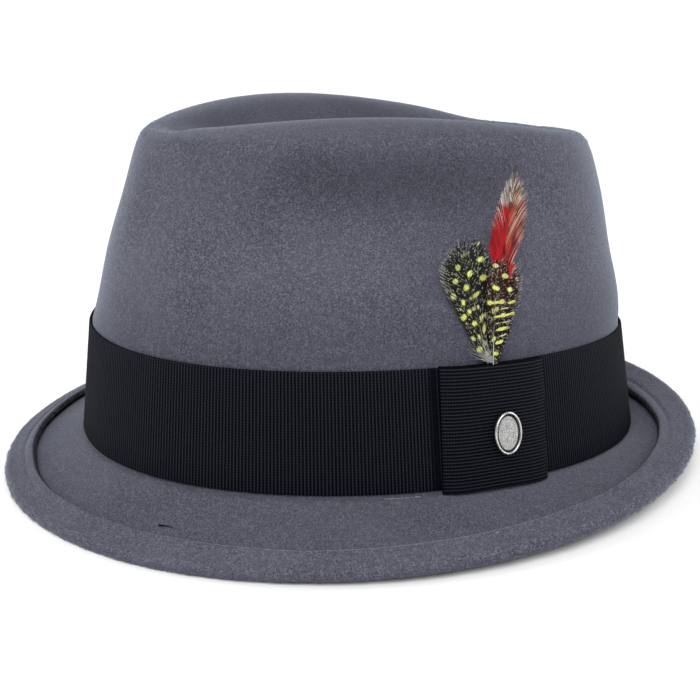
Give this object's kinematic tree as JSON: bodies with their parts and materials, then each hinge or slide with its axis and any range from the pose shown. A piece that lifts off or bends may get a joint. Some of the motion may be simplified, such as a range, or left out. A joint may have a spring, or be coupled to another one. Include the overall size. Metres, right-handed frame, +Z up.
{
  "type": "felt trilby hat",
  "caption": "Grey felt trilby with a teardrop crown, a stingy brim, a wide black ribbed band, a flat bow with an oval pin, and a small bunch of feathers.",
  "frame": {"origin": "middle of the hat's outline, on the surface that it rests on", "axes": "+Z up, -Y towards the front of the hat, +X towards the wearer's left, where the bow is"},
  "size_m": [0.242, 0.2476, 0.1229],
  "materials": {
    "felt": "matte brushed wool felt, grey",
    "ribbon": "ribbed grosgrain, black",
    "pin_metal": "antique silver, polished rim, dark groove",
    "guinea_feather": "guinea fowl feather, dyed, yellow-green spots on black",
    "hackle_feather": "hackle feather, dyed red, grey banded tip",
    "down": "loose grey and white down"
  },
  "bodies": {
    "root": {"felt_body": "felt", "ribbon_band": "ribbon", "bow_wrap": "ribbon", "oval_pin": "pin_metal", "guinea_feather_left": "guinea_feather", "guinea_feather_right": "guinea_feather", "red_hackle": "hackle_feather", "down_tuft": "down"}
  },
  "joints": []
}
